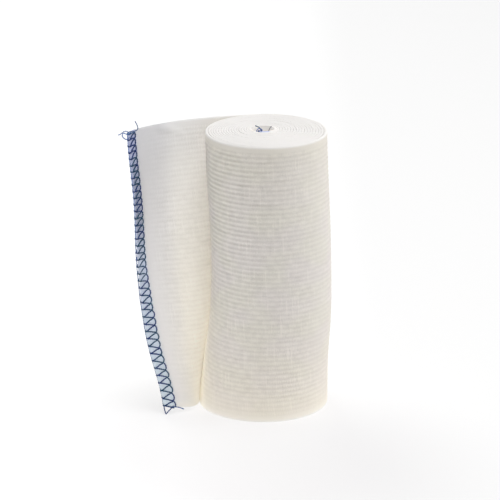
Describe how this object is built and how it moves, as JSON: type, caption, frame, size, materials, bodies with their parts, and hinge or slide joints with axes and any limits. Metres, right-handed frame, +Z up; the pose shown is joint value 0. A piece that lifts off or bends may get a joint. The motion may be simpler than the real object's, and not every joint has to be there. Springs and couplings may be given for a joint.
{
  "type": "elastic bandage roll",
  "caption": "Ribbed elastic bandage cloth wound into an upright roll, its overlocked free end drawn off to one side.",
  "frame": {"origin": "on the floor, below the middle of the whole outline, which is left of the roll's axis", "axes": "+Z up along the roll and across the cloth's width, -X towards the side where the loose end is drawn off, -Y towards the viewer of the picture"},
  "size_m": [0.0732, 0.0472, 0.102],
  "materials": {
    "elastic_cloth": "matt off-white cotton and elastic weave with fine ribs along its length",
    "overlock_thread": "dark blue spun thread over the cut edge of the cloth"
  },
  "bodies": {
    "root": {"wound_roll": "elastic_cloth", "loose_end": "elastic_cloth", "outer_overlock": "overlock_thread", "inner_overlock": "overlock_thread"}
  },
  "joints": []
}
